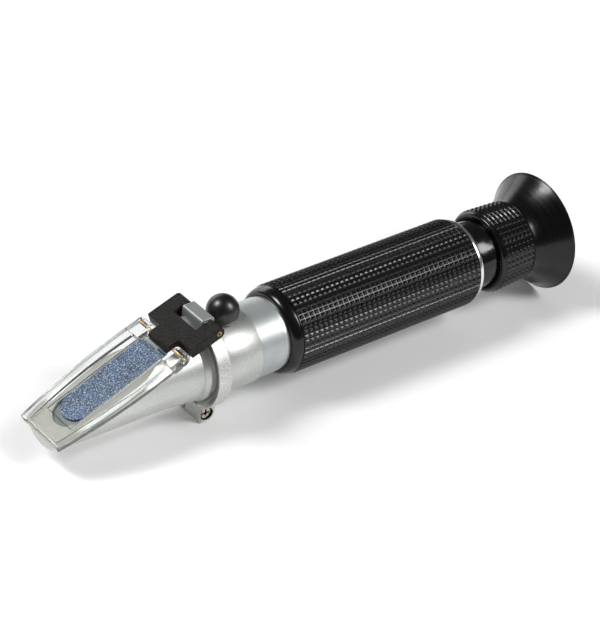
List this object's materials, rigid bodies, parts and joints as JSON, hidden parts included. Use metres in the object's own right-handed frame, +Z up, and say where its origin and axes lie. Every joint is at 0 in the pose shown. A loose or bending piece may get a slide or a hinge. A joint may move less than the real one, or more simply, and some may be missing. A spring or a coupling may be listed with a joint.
{
  "type": "handheld brix refractometer",
  "caption": "Handheld refractometer: slanting prism under a hinged clear daylight plate, calibration screw with a ball cap, rubber grip, and a focusing eyepiece with a flared eyecup.",
  "frame": {"origin": "under the middle of the barrel, at the height of the lowest point of the eyecup's rim", "axes": "+X along the barrel towards the eyecup, +Z up on the side of the daylight plate"},
  "size_m": [0.1982, 0.0398, 0.0406],
  "materials": {
    "satin_aluminium": "satin, fine turned",
    "label_foil": "bare silver foil",
    "bright_ring": "polished",
    "die_cast_ring": "die cast, bead blasted",
    "screw_steel": "nickel plated",
    "strap_steel": "bent sheet",
    "pin_brass": "turned",
    "bimetal": "rolled strip",
    "black_moulding": "grained moulding",
    "focus_plastic": "knurled moulding",
    "neck_plastic": "glossy thread",
    "black_anodised": "black anodised",
    "clear_acrylic": "clear, polished",
    "prism_glass": "polished, on a blue seat",
    "seal_compound": "blue cement",
    "lens_glass": "polished",
    "grip_rubber": "pyramid knurl",
    "eyecup_rubber": "smooth, half gloss",
    "cap_rubber": "smooth, dull"
  },
  "bodies": {
    "barrel": {"main_tube": "satin_aluminium", "grip_sleeve": "grip_rubber", "grip_end_ring": "bright_ring", "label_band": "label_foil", "objective_housing": "satin_aluminium", "front_body": "satin_aluminium", "measuring_prism": "prism_glass", "prism_seal": "seal_compound", "light_stop": "black_anodised", "clamp_ring": "die_cast_ring", "clamp_screw": "screw_steel", "hinge_strap": "strap_steel", "hinge_roll_pin": "pin_brass", "calibration_bush": "pin_brass", "strip_screws": "screw_steel", "scale_holder": "black_anodised", "scale_disc": "lens_glass", "scale_retainer": "black_anodised", "eyepiece_neck": "neck_plastic", "guide_key": "screw_steel"},
    "arm": {"hinge_arm": "black_moulding"},
    "plate": {"daylight_plate": "clear_acrylic", "plate_hinge_pin": "pin_brass"},
    "cap": {"calibration_cap": "cap_rubber"},
    "adjuster": {"calibration_screw": "screw_steel"},
    "compensator": {"lens_carrier": "black_anodised", "objective_lens": "lens_glass", "lens_retainer": "black_anodised", "compensation_strip": "bimetal"},
    "eyepiece": {"lens_barrel": "black_anodised", "field_lens": "lens_glass", "lens_spacer": "black_anodised", "eye_lens": "lens_glass", "eye_lens_retainer": "black_anodised", "barrel_clip": "screw_steel"},
    "focuser": {"focus_ring": "focus_plastic", "eyecup": "eyecup_rubber"}
  },
  "joints": [
    {"name": "arm_lift", "type": "hinge", "parent": "barrel", "child": "arm", "pos_m": [-0.0423, 0, 0.0367], "axis": [0, 1, 0], "range_deg": [0, 110]},
    {"name": "plate_tilt", "type": "hinge", "parent": "arm", "child": "plate", "pos_m": [-0.05517, 0, 0.03201], "axis": [0, 1, 0], "range_deg": [0, 60]},
    {"name": "cap_pull", "type": "slide", "parent": "barrel", "child": "cap", "axis": [0, 0, 1], "range_m": [0, 0.008]},
    {"name": "calibration_turn", "type": "hinge", "parent": "barrel", "child": "adjuster", "pos_m": [-0.0328, 0, 0.0329], "axis": [0, 0, 1], "range_deg": [-270, 270]},
    {"name": "compensator_tilt", "type": "hinge", "parent": "barrel", "child": "compensator", "pos_m": [-0.0096, 0, 0.0113], "axis": [0, 1, 0], "range_deg": [-0.83, 0.83]},
    {"name": "focus_slide", "type": "slide", "parent": "barrel", "child": "eyepiece", "axis": [1, 0, 0], "range_m": [-0.0025, 0.0025]},
    {"name": "focus_turn", "type": "hinge", "parent": "eyepiece", "child": "focuser", "pos_m": [0.0834, 0, 0.0199], "axis": [1, 0, 0], "range_deg": [-180, 180]}
  ],
  "couplings": [
    {"joint": "focus_slide", "follows": "focus_turn", "m_per_rad": 0.00079577},
    {"joint": "calibration_turn", "follows": "compensator_tilt", "ratio": 323.93}
  ]
}
